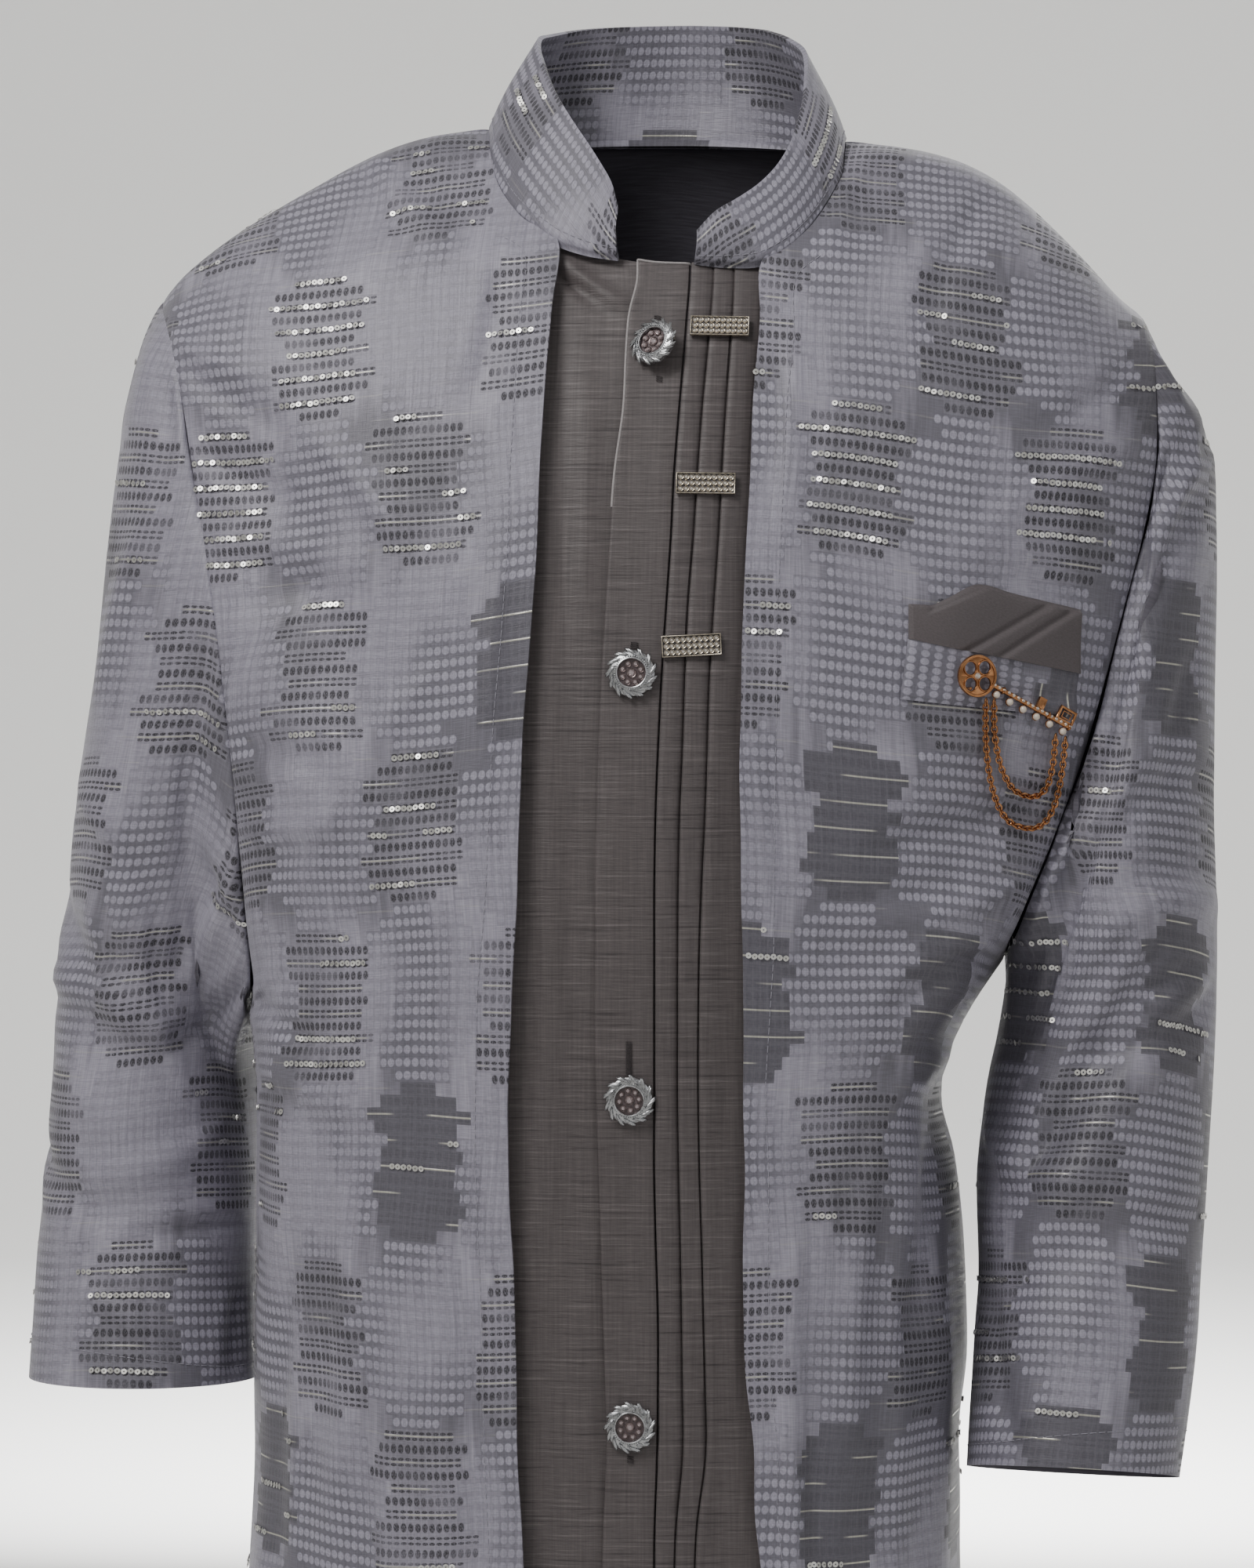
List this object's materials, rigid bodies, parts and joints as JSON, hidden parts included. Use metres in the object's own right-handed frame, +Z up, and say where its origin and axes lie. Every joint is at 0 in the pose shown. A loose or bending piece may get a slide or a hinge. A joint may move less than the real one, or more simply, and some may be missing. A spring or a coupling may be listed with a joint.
{
  "type": "sherwani coat",
  "caption": "Knee-length open-front sherwani coat with stand collar, set-in sleeves, plain dark inner front with a button strip, chest pocket and key brooch.",
  "frame": {"origin": "middle of the neck's base, where the coat's shoulders rest on the wearer", "axes": "+Z up the coat towards the collar, -Y out of the coat's front, +X towards the wearer's left"},
  "size_m": [0.5342, 0.2851, 1.014],
  "materials": {
    "patterned_cloth": "grey-mauve woven brocade with a dull sheen",
    "plain_cloth": "dark warm grey slubbed cloth",
    "silver_buttons": "antique silver",
    "stone_bars": "pale stones in metal settings",
    "copper_brooch": "polished copper-gold"
  },
  "bodies": {
    "root": {"back": "patterned_cloth", "front_right": "patterned_cloth", "front_left": "patterned_cloth", "collar": "patterned_cloth", "sleeve_right": "patterned_cloth", "sleeve_left": "patterned_cloth", "pocket_welt": "patterned_cloth", "inner_front_right": "plain_cloth", "inner_front_left": "plain_cloth", "placket": "plain_cloth", "pocket_square": "plain_cloth", "button_1": "silver_buttons", "button_2": "silver_buttons", "button_3": "silver_buttons", "button_4": "silver_buttons", "bar_1": "stone_bars", "bar_2": "stone_bars", "bar_3": "stone_bars", "brooch_key": "copper_brooch", "brooch_chain_inner": "copper_brooch", "brooch_chain_outer": "copper_brooch"}
  },
  "joints": []
}
